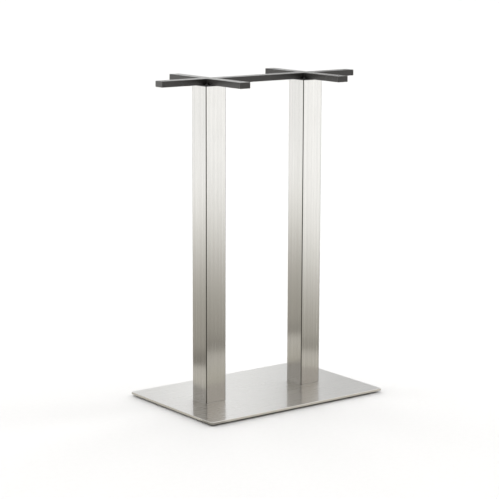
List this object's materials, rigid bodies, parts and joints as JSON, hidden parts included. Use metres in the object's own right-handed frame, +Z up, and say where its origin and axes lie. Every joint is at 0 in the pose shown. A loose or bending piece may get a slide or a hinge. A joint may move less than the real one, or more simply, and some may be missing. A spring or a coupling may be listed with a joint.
{
  "type": "table base",
  "caption": "Bar-height table base: square brushed-steel columns on a flat weighted plate with levelling feet, carrying a black frame of crossed arms that a tabletop is screwed to.",
  "frame": {"origin": "on the floor, under the middle of the base plate", "axes": "+X along the long side of the plate, +Y from front to back, +Z up"},
  "size_m": [0.8, 0.475, 1.1],
  "materials": {
    "stainless": "satin brushed stainless steel, grain along each piece's long side",
    "frame_powder": "fine-textured black powder coat",
    "plug_plastic": "fine matt black moulded plastic",
    "slab_paint": "dark primer on hot-rolled steel",
    "inner_steel": "bare mild steel",
    "fastener_zinc": "bright zinc plate",
    "fastener_black": "black oxide with a light oil sheen",
    "foot_zinc": "zinc-plated steel thread and flange",
    "foot_nylon": "black moulded nylon",
    "foot_rubber": "dark grey non-slip rubber"
  },
  "bodies": {
    "base": {"ballast_plate": "slab_paint", "base_cover": "stainless", "column_left": "stainless", "column_foot_plate_left": "inner_steel", "column_head_plate_left": "inner_steel", "base_screws_left": "fastener_zinc", "column_right": "stainless", "column_foot_plate_right": "inner_steel", "column_head_plate_right": "inner_steel", "base_screws_right": "fastener_zinc", "frame_rail": "frame_powder", "rail_plug_left": "plug_plastic", "rail_plug_right": "plug_plastic", "crossbar_front_left": "frame_powder", "crossbar_plug_front_left": "plug_plastic", "crossbar_back_left": "frame_powder", "crossbar_plug_back_left": "plug_plastic", "crossbar_front_right": "frame_powder", "crossbar_plug_front_right": "plug_plastic", "crossbar_back_right": "frame_powder", "crossbar_plug_back_right": "plug_plastic", "mounting_plate_left": "frame_powder", "frame_washers_left": "fastener_black", "frame_screws_left": "fastener_black", "mounting_plate_right": "frame_powder", "frame_washers_right": "fastener_black", "frame_screws_right": "fastener_black"},
    "pad_front_left": {"foot_pad_front_left": "foot_nylon", "foot_sole_front_left": "foot_rubber"},
    "stem_front_left": {"foot_stem_front_left": "foot_zinc"},
    "pad_front_right": {"foot_pad_front_right": "foot_nylon", "foot_sole_front_right": "foot_rubber"},
    "stem_front_right": {"foot_stem_front_right": "foot_zinc"},
    "pad_back_left": {"foot_pad_back_left": "foot_nylon", "foot_sole_back_left": "foot_rubber"},
    "stem_back_left": {"foot_stem_back_left": "foot_zinc"},
    "pad_back_right": {"foot_pad_back_right": "foot_nylon", "foot_sole_back_right": "foot_rubber"},
    "stem_back_right": {"foot_stem_back_right": "foot_zinc"}
  },
  "joints": [
    {"name": "foot_travel_front_left", "type": "slide", "parent": "base", "child": "pad_front_left", "axis": [0, 0, -1], "range_m": [0, 0.00375]},
    {"name": "foot_turn_front_left", "type": "hinge", "parent": "pad_front_left", "child": "stem_front_left", "pos_m": [-0.3175, -0.1925, 0], "axis": [0, 0, -1], "range_deg": [0, 1080]},
    {"name": "foot_travel_front_right", "type": "slide", "parent": "base", "child": "pad_front_right", "axis": [0, 0, -1], "range_m": [0, 0.00375]},
    {"name": "foot_turn_front_right", "type": "hinge", "parent": "pad_front_right", "child": "stem_front_right", "pos_m": [0.3175, -0.1925, 0], "axis": [0, 0, -1], "range_deg": [0, 1080]},
    {"name": "foot_travel_back_left", "type": "slide", "parent": "base", "child": "pad_back_left", "axis": [0, 0, -1], "range_m": [0, 0.00375]},
    {"name": "foot_turn_back_left", "type": "hinge", "parent": "pad_back_left", "child": "stem_back_left", "pos_m": [-0.3175, 0.1925, 0], "axis": [0, 0, -1], "range_deg": [0, 1080]},
    {"name": "foot_travel_back_right", "type": "slide", "parent": "base", "child": "pad_back_right", "axis": [0, 0, -1], "range_m": [0, 0.00375]},
    {"name": "foot_turn_back_right", "type": "hinge", "parent": "pad_back_right", "child": "stem_back_right", "pos_m": [0.3175, 0.1925, 0], "axis": [0, 0, -1], "range_deg": [0, 1080]}
  ],
  "couplings": [
    {"joint": "foot_travel_front_left", "follows": "foot_turn_front_left", "m_per_rad": 0.00019894},
    {"joint": "foot_travel_front_right", "follows": "foot_turn_front_right", "m_per_rad": 0.00019894},
    {"joint": "foot_travel_back_left", "follows": "foot_turn_back_left", "m_per_rad": 0.00019894},
    {"joint": "foot_travel_back_right", "follows": "foot_turn_back_right", "m_per_rad": 0.00019894}
  ]
}
